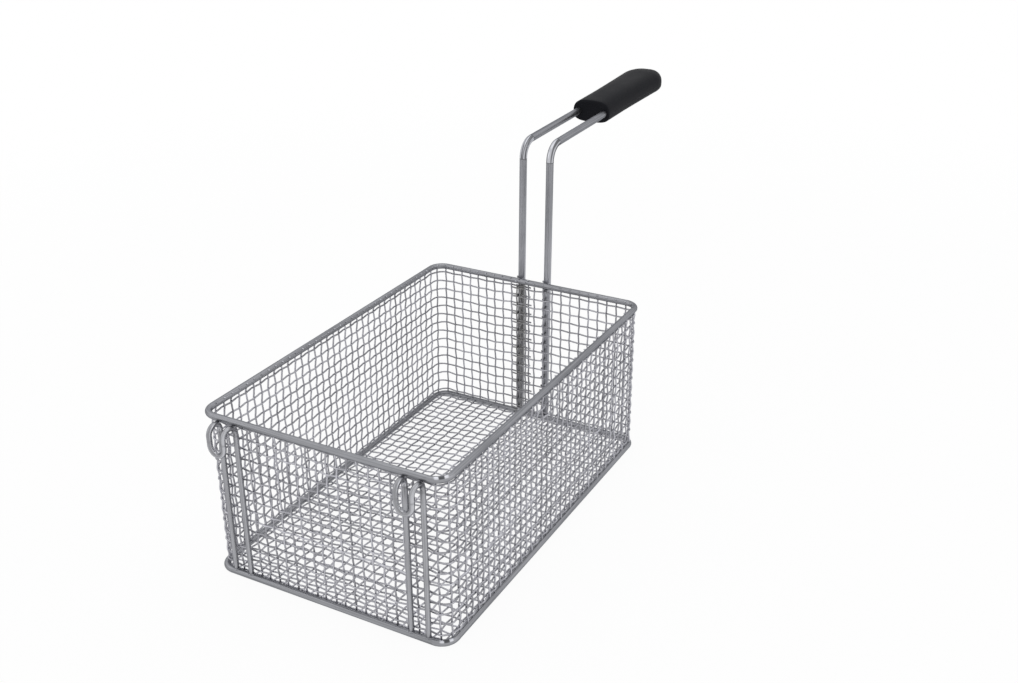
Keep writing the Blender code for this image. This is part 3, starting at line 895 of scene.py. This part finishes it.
def base_strands():
    """Guide lines of the strands across and along the base cloth."""
    chance = random.Random(23)
    sizes = bpy.context.scene.basket_sizes
    corner = sizes.corner_radius - sizes.frame_wire / 2
    half_x, half_y = ((size - sizes.frame_wire) / 2 + 0.0002 for size in (sizes.width, sizes.length))

    def strands(places, stations, half, across_half, along_x, first):
        made = []
        for index, fixed in enumerate(places, first):
            into_corner = min(corner, max(0.0, abs(fixed / 1000) - across_half + corner))
            end = half - corner + math.sqrt(corner * corner - into_corner * into_corner)
            inner = [(place / 1000, count) for count, place in enumerate(stations)]
            inner = [mark for mark in inner if abs(mark[0]) < end - 0.001]

            def guide(place, count):
                x, y = (place, fixed / 1000) if along_x else (fixed / 1000, place)
                return Vector((x, y + bowed(x, y) + MIDDLE_Y, FOOT_Z + 0.0002)), UP, count + index

            marks = [(-end, -0.6), *inner, (end, len(stations) - 0.4)]
            made.append((threaded(marks, 0.9, guide), chance.random()))
        return made

    across = strands(BASE_ROWS, BASE_COLUMNS, half_x, half_y, True, 0)
    return across, strands(BASE_COLUMNS, BASE_ROWS, half_y, half_x, False, 1)


def hook_points(middle_x):
    """Drain hook: up from the bottom frame, over a half circle, down, across and back the same way."""
    sizes = bpy.context.scene.basket_sizes
    front_y = MIDDLE_Y - sizes.length / 2
    half = sizes.hook_legs / 2
    foot_z = FOOT_Z + sizes.frame_wire / 2 + SEAT_GAP
    crown = sizes.hook_reach / 2
    reach_to_rim = crown + sizes.hook_wire / 2 + SEAT_GAP + sizes.frame_wire / 2
    crown_z = RIM_Z - math.sqrt(reach_to_rim * reach_to_rim - crown * crown)
    across_z = crown_z + crown - sizes.hook_drop + half
    points = [Vector((middle_x - half, front_y, foot_z))]
    points += arc(Vector((middle_x - half, front_y - crown, crown_z)), BACK, UP, crown, 0, 180, 18)
    points += arc(Vector((middle_x, front_y - sizes.hook_reach, across_z)), -RIGHT, -UP, half, 0, 180, 20)
    points += arc(Vector((middle_x + half, front_y - crown, crown_z)), -BACK, UP, crown, 0, 180, 18)
    points.append(Vector((middle_x + half, front_y, foot_z)))
    pinch = sizes.hook_pinch / sizes.hook_reach
    return [place + RIGHT * (middle_x - place.x) * (front_y - place.y) * pinch for place in points]


def leaned(place):
    """The handle was welded on a little out of true: its feet stand to the left and its run veers to
    the right."""
    sizes = bpy.context.scene.basket_sizes
    veer = sizes.run_veer * eased((place.y - bend_centre().y) / sizes.free_run)
    shift = sizes.handle_lean * (place.z - FOOT_Z) - sizes.feet_shift + veer
    return place + RIGHT * shift + UP * sizes.handle_lift


def handle_axes():
    """Direction of the handle's run, and the direction square to it, upwards."""
    slope = bpy.context.scene.basket_sizes.handle_slope
    return Vector((0, math.cos(slope), math.sin(slope))), Vector((0, -math.sin(slope), math.cos(slope)))


def bend_centre():
    sizes = bpy.context.scene.basket_sizes
    handle_y = MIDDLE_Y + sizes.length / 2 + sizes.frame_wire / 2 + SEAT_GAP + sizes.handle_wire / 2
    return Vector((0, handle_y + sizes.handle_bend, RIM_Z + sizes.handle_rise - sizes.handle_bend))


def grip_face():
    """Middle between the two wires where they enter the grip."""
    sizes = bpy.context.scene.basket_sizes
    run, lift = handle_axes()
    return bend_centre() + lift * sizes.handle_bend + run * sizes.free_run


def handle_points():
    """One wire: up the outside of the back wall, over a bend, along, round a half circle inside the
    grip, and the same way back."""
    sizes = bpy.context.scene.basket_sizes
    run, _ = handle_axes()
    half = sizes.handle_spacing / 2
    foot_z = 0.0012
    turn = 90 - math.degrees(sizes.handle_slope)
    middle = bend_centre()
    sides = []
    for side in (-1, 1):
        centre = middle + RIGHT * side * half
        foot = Vector((side * half, middle.y - sizes.handle_bend, foot_z))
        sides.append([foot] + arc(centre, -BACK, UP, sizes.handle_bend, 0, turn, 24))
    hairpin = arc(grip_face() + run * (sizes.depth_in_grip - half), -RIGHT, run, half, 0, 180, 24)
    path = refined(sides[0] + hairpin + sides[1][::-1], 0.010, False)
    return [leaned(place) for place in path]


def grip_outline(width, thickness, crown, count):
    """Section of the grip square to its run: flat oval with a fuller top."""
    outline = []
    for step in range(count):
        angle = 2 * math.pi * step / count
        across = math.copysign(abs(math.cos(angle)) ** 0.62, math.cos(angle)) * width / 2
        up = math.copysign(abs(math.sin(angle)) ** 0.72, math.sin(angle)) * thickness / 2
        outline.append((across, up + crown * math.sin(angle) if up > 0 else up))
    return outline


def grip_stations():
    """Distance along the grip, and the section's width, thickness and crown there: the sunk near
    face, its rounded lip, the flaring body and the round nose."""
    sizes = bpy.context.scene.grip_sizes
    edge, nose = sizes.edge, sizes.nose
    straight = sizes.length - nose
    sunk = ((0.0004, 0.0058, 0.9), (0.0003, 0.0052, 0.9), (0.0001, 0.0046, 0.9), (0.0, 0.0040, 0.95))
    stations = [(distance, sizes.width - inset, sizes.thickness - inset, sizes.crown * share)
                for distance, inset, share in sunk]
    for step in range(7):
        angle = math.pi / 2 * step / 6
        inset = 2 * edge * (1 - math.sin(angle))
        stations.append((
            edge * (1 - math.cos(angle)), sizes.width - inset, sizes.thickness - inset, sizes.crown))
    for step in range(1, 25):
        share = step / 24
        flare = sizes.flare * max(0.0, (share - 0.3) / 0.7) ** 1.3
        stations.append((
            edge + (straight - edge) * share, sizes.width + flare, sizes.thickness, sizes.crown))
    last = math.radians(84)
    for step in range(1, 19):
        angle = last * step / 18
        stations.append((
            straight + nose * math.sin(angle) / math.sin(last),
            (sizes.width + sizes.flare) * math.cos(angle) ** 0.75,
            sizes.thickness * math.cos(angle) ** 0.2,
            sizes.crown * math.cos(angle) ** 0.5))
    return stations


def grip_mesh():
    """Closed body of the grip."""
    run, lift = handle_axes()
    start = grip_face() - lift * bpy.context.scene.grip_sizes.wire_rise
    count = 72
    bm = bmesh.new()
    rings = []
    for distance, width, thickness, crown in grip_stations():
        rings.append([bm.verts.new(leaned(start + run * distance + RIGHT * across + lift * up))
                      for across, up in grip_outline(width, thickness, crown, count)])
    for near, far in zip(rings, rings[1:]):
        for index in range(count):
            following = (index + 1) % count
            bm.faces.new((near[index], near[following], far[following], far[index]))
    bm.faces.new(rings[0])
    bm.faces.new(rings[-1])
    bmesh.ops.recalc_face_normals(bm, faces=bm.faces)
    mesh = bpy.data.meshes.new("moulded_grip")
    bm.to_mesh(mesh)
    bm.free()
    return mesh


def cut(mesh, tool):
    """The mesh with the tool mesh taken out of it."""
    body = bpy.data.objects.new("cut_body", mesh)
    knife = bpy.data.objects.new("cut_tool", tool)
    for item in (body, knife):
        bpy.context.scene.collection.objects.link(item)
    boolean = body.modifiers.new("channel", "BOOLEAN")
    boolean.operation = "DIFFERENCE"
    boolean.solver = "EXACT"
    boolean.object = knife
    result = applied(body)
    for item in (body, knife):
        bpy.data.objects.remove(item)
    return result


def frame_welds():
    """Welds of the hooks' legs, at the frame and at the rim, and of the handle's uprights."""
    sizes = bpy.context.scene.basket_sizes
    wire = sizes.frame_wire / 2
    front_y, back_y = MIDDLE_Y - sizes.length / 2, MIDDLE_Y + sizes.length / 2
    places = []
    for side in (-1, 1):
        middle = side * (sizes.width / 2 - sizes.hook_inset)
        for leg in (middle - sizes.hook_legs / 2, middle + sizes.hook_legs / 2):
            places.append((Vector((leg, front_y, FOOT_Z + wire)), (0.0023, 0.0022, 0.0009)))
            places.append((
                Vector((leg, front_y - 0.0017, RIM_Z - wire - 0.0005)), (0.0015, 0.0012, 0.0012)))
        handle_x = side * sizes.handle_spacing / 2
        for z in (RIM_Z, FOOT_Z):
            for beside in (-0.0024, 0.0024):
                place = leaned(Vector((handle_x + beside, back_y + wire + 0.0006, z)))
                places.append((place, (0.0011, 0.0010, 0.0015)))
        neck = leaned(Vector((handle_x - 0.0029, back_y + wire + 0.0008, RIM_Z + 0.0022)))
        places.append((neck, (0.0007, 0.0007, 0.0008)))
    return places


def cloth_welds(line):
    """Welds of the cloth's uprights to the rim and the frame, and a pale lump on top of the rim at each
    upright, coloured lighter as a painted highlight. On the front wall the uprights stand outside the
    frame, and have no pale lumps."""
    wire = bpy.context.scene.basket_sizes.frame_wire / 2
    welds, marks = [], []
    for distance, lean in line.columns:
        front = line.on_front(distance)
        short = 0.0 if front else wire
        for z in (RIM_Z - short, FOOT_Z + short):
            place, out = line.point(distance + lean * (z - HALF_Z), z)
            if front:
                welds.append((place + out * 0.0005, (0.0009, 0.0004, 0.0009)))
            else:
                welds.append((place, (0.0009, 0.0009, 0.00035)))
        if not front:
            # Pale lump on top of the rim, its lighter colour a painted highlight.
            place, out = line.point(distance + lean * (RIM_Z - FOOT_Z) / 2, RIM_Z + wire * 0.66)
            marks.append((place - out * wire * 0.72, (0.0010, 0.0010, 0.0006)))
    return welds, marks


def upright_welds(line):
    """Burnt welds of the level strands to the handle's two uprights."""
    half = bpy.context.scene.basket_sizes.handle_spacing / 2
    welds = []
    for row in ROWS:
        for x, distance in ((-half, 0.009), (half, -CLOTH_START_X)):
            place = leaned(Vector((x, 0, line.level(row, distance))))
            place.y = MIDDLE_Y + line.back_y + 0.0011
            welds.append((place, (0.0024, 0.0008, 0.0012)))
    return welds


class BASKET_OT_frame_wires(bpy.types.Operator):
    """Build the rim wire and the bottom frame wire"""

    bl_idname = "basket.frame_wires"
    bl_label = "Rim and bottom frame"

    def execute(self, context):
        sizes = context.scene.basket_sizes

        def butt_weld(distance, total):
            """Swells the wire at its butt weld, between two slight dips."""
            from_weld = abs(distance - total * 0.34)
            bead, dip = (math.exp(-(from_weld / width) ** 2) for width in (0.0011, 0.003))
            return 1.0 + 0.07 * bead - 0.03 * dip

        resting = sizes.frame_wire / 2
        for name, node, z in (("rim_wire", "top_rim", RIM_Z), ("foot_wire", "bottom_frame", resting)):
            path = rounded_loop(sizes.width, sizes.length, sizes.corner_radius, z, 14)
            mesh = wire_mesh(name, path, sizes.frame_wire, 24, True, butt_weld, 0.0045)
            show(name, mesh, "frame_wire_finish", "frame_steel", node)
        return {"FINISHED"}


class BASKET_OT_hooks(bpy.types.Operator):
    """Build the two drain hooks on the front wall"""

    bl_idname = "basket.hooks"
    bl_label = "Drain hooks"

    def execute(self, context):
        sizes = context.scene.basket_sizes
        middle = sizes.width / 2 - sizes.hook_inset
        for name, node, x in (
                ("left_drain_hook", "left_hook", -middle), ("right_drain_hook", "right_hook", middle)):
            mesh = wire_mesh(name, hook_points(x), sizes.hook_wire, 20)
            show(name, mesh, "hook_wire_finish", "hook_steel", node)
        return {"FINISHED"}


class BASKET_OT_handle(bpy.types.Operator):
    """Build the handle's bent wire"""

    bl_idname = "basket.handle"
    bl_label = "Handle wire"

    def execute(self, context):
        wire = context.scene.basket_sizes.handle_wire
        mesh = wire_mesh("bent_handle_wire", handle_points(), wire, 24, step=0.002)
        show("bent_handle_wire", mesh, "handle_wire_finish", "frame_steel", "handle_wire")
        return {"FINISHED"}


class BASKET_OT_grip(bpy.types.Operator):
    """Build the moulded grip, with the channel that the handle wire runs in"""

    bl_idname = "basket.grip"
    bl_label = "Grip"

    def execute(self, context):
        wire = context.scene.basket_sizes.handle_wire
        mesh = cut(grip_mesh(), wire_mesh("channel", handle_points(), wire + 0.0002, 32))
        mesh.name = "moulded_grip"
        mesh.shade_smooth()
        mesh.set_sharp_from_angle(angle=math.radians(40))
        show("moulded_grip", mesh, "grip_finish", "grip_plastic", "grip")
        return {"FINISHED"}


class BASKET_OT_wall_cloth(bpy.types.Operator):
    """Weave the band of wire cloth that runs round the four walls and laps at the back"""

    bl_idname = "basket.wall_cloth"
    bl_label = "Wall cloth"

    def execute(self, context):
        for name, strands in zip(("wall_uprights", "wall_level_strands"), wall_strands()):
            show(name, weave(name, strands), "cloth_wire_finish", "cloth_steel", "wall_cloth")
        return {"FINISHED"}


class BASKET_OT_base_cloth(bpy.types.Operator):
    """Weave the panel of wire cloth that closes the bottom"""

    bl_idname = "basket.base_cloth"
    bl_label = "Base cloth"

    def execute(self, context):
        for name, strands in zip(("base_cross_strands", "base_long_strands"), base_strands()):
            show(name, weave(name, strands), "cloth_wire_finish", "cloth_steel", "base_cloth")
        return {"FINISHED"}


class BASKET_OT_welds(bpy.types.Operator):
    """Set the weld nuggets where the wires meet"""

    bl_idname = "basket.welds"
    bl_label = "Weld nuggets"

    def execute(self, context):
        line = WallLine()
        welds, marks = cloth_welds(line)
        show_nuggets("frame_welds", frame_welds(), 4, 0.0004)
        show_nuggets("cloth_welds", welds, 2, 0.0002)
        # Pale lumps on the rim, coloured lighter as painted highlights.
        show_nuggets("rim_weld_marks", marks, 2, 0.0003, "weld_mark_finish")
        show_nuggets("upright_welds", upright_welds(line), 3, 0.0003, "burnt_weld_finish")
        return {"FINISHED"}


class BASKET_OT_stage(bpy.types.Operator):
    """Set up the floor, the lamps, the surroundings and the camera"""

    bl_idname = "basket.stage"
    bl_label = "Stage"

    def execute(self, context):
        make_floor()
        make_world()
        make_lamps()
        make_camera()
        context.scene.view_settings.view_transform = "Standard"
        return {"FINISHED"}


def make_floor():
    """A white disc that fades into the surroundings and keeps the basket's shadow."""
    bm = bmesh.new()
    bmesh.ops.create_circle(bm, cap_ends=True, radius=1.6, segments=96)
    mesh = bpy.data.meshes.new("floor")
    bm.to_mesh(mesh)
    bm.free()
    material = bpy.data.materials.new("pale_floor")
    board = blank(material)
    place = board.place()
    fade = board.vector("LENGTH", {0: place}, "Value").above(0.55, 1.35)
    pale = board.mix(board.noise(place, 6.0, 2.0), (0.94, 0.94, 0.94, 1.0), (0.97, 0.97, 0.97, 1.0))
    diffuse = board.value("ShaderNodeBsdfDiffuse", inputs={"Color": pale})
    glow = board.value("ShaderNodeEmission", inputs={"Color": WHITE, "Strength": 1.0})
    lit = board.value("ShaderNodeMixShader", inputs={0: board.seen() * 0.93, 1: diffuse, 2: glow})
    clear = board.value("ShaderNodeBsdfTransparent")
    mixed = board.value("ShaderNodeMixShader", inputs={0: fade, 1: lit, 2: clear})
    board.node("ShaderNodeOutputMaterial", inputs={"Surface": mixed})
    floor = bpy.data.objects.new("floor", mesh)
    mesh.materials.append(material)
    bpy.context.scene.collection.objects.link(floor)


def make_world():
    """White where it is seen directly or mirrored, and a plain even fill for the rest."""
    world = bpy.data.worlds.new("studio")
    board = blank(world)
    strength = 0.80 + board.seen() * 0.20
    ground = board.value("ShaderNodeBackground", inputs={"Color": WHITE, "Strength": strength})
    board.node("ShaderNodeOutputWorld", inputs={"Surface": ground})
    bpy.context.scene.world = world


def make_lamps():
    """A large soft lamp above, a smaller one from the front left and a weak one from the right."""
    lamps = (
        ("lamp_above", (-0.25, 0.1, 1.6), 1.4, 2.5),
        ("lamp_left", (-1.2, -1.1, 0.9), 0.9, 1.5),
        ("lamp_right", (1.3, 0.2, 0.8), 0.6, 1.0),
    )
    target = Vector((0.0, -0.1, 0.1))
    for name, place, size, power in lamps:
        data = bpy.data.lights.new(name, "AREA")
        data.shape = "SQUARE"
        data.size = size
        data.energy = power
        lamp = bpy.data.objects.new(name, data)
        lamp.location = place
        lamp.rotation_euler = (Vector(place) - target).to_track_quat("Z", "Y").to_euler()
        bpy.context.scene.collection.objects.link(lamp)


def make_camera():
    """The camera, where the edges of the rim and the bottom frame say that it stood."""
    azimuth, elevation, roll = (math.radians(angle) for angle in (-28.48, -25.44, -0.24))
    ahead = Vector((math.cos(elevation) * math.sin(azimuth), math.cos(elevation) * math.cos(azimuth),
                    math.sin(elevation)))
    side = ahead.cross(UP).normalized()
    over = side.cross(ahead)
    turned_side = side * math.cos(roll) + over * math.sin(roll)
    turned_over = over * math.cos(roll) - side * math.sin(roll)
    pixels_across, focal_pixels, sensor = 1018, 1211.4, 36.0
    data = bpy.data.cameras.new("camera")
    data.sensor_fit = "HORIZONTAL"
    data.sensor_width = sensor
    data.lens = focal_pixels * sensor / pixels_across
    data.shift_x = -0.5 / pixels_across
    data.shift_y = 0.5 / pixels_across
    camera = bpy.data.objects.new("camera", data)
    turn = Matrix((turned_side, turned_over, -ahead)).transposed().to_4x4()
    camera.matrix_world = Matrix.Translation((0.4523, MIDDLE_Y - 0.7195, FOOT_Z + 0.5451)) @ turn
    bpy.context.scene.collection.objects.link(camera)
    bpy.context.scene.camera = camera


class BASKET_PT_panel(bpy.types.Panel):
    """Lists the basket's builders and sizes"""

    bl_idname = "BASKET_PT_panel"
    bl_label = "Fryer basket"
    bl_space_type = "VIEW_3D"
    bl_region_type = "UI"
    bl_category = "Fryer basket"

    def draw(self, context):
        for operator in OPERATORS:
            self.layout.operator(operator.bl_idname)
        for _, name, group in GROUPS:
            box = self.layout.box()
            box.label(text=name)
            holder = getattr(context.scene, group)
            for label in holder.__annotations__:
                box.prop(holder, label)


OPERATORS = (
    BASKET_OT_frame_wires,
    BASKET_OT_hooks,
    BASKET_OT_handle,
    BASKET_OT_grip,
    BASKET_OT_wall_cloth,
    BASKET_OT_base_cloth,
    BASKET_OT_welds,
    BASKET_OT_stage,
)
GROUPS = (
    (BasketSizes, "Basket", "basket_sizes"),
    (ClothSizes, "Cloth", "cloth_sizes"),
    (GripSizes, "Grip", "grip_sizes"),
    (Finishes, "Finishes", "basket_finishes"),
)


def register():
    for kind, _, group in GROUPS:
        bpy.utils.register_class(kind)
        setattr(bpy.types.Scene, group, bpy.props.PointerProperty(type=kind))
    for panel_or_operator in (*OPERATORS, BASKET_PT_panel):
        bpy.utils.register_class(panel_or_operator)


def unregister():
    for panel_or_operator in (BASKET_PT_panel, *reversed(OPERATORS)):
        bpy.utils.unregister_class(panel_or_operator)
    for kind, _, group in reversed(GROUPS):
        delattr(bpy.types.Scene, group)
        bpy.utils.unregister_class(kind)


def main():
    register()
    bpy.ops.basket.frame_wires()
    bpy.ops.basket.hooks()
    bpy.ops.basket.handle()
    bpy.ops.basket.grip()
    bpy.ops.basket.wall_cloth()
    bpy.ops.basket.base_cloth()
    bpy.ops.basket.welds()
    bpy.ops.basket.stage()


if __name__ == "__main__":
    main()
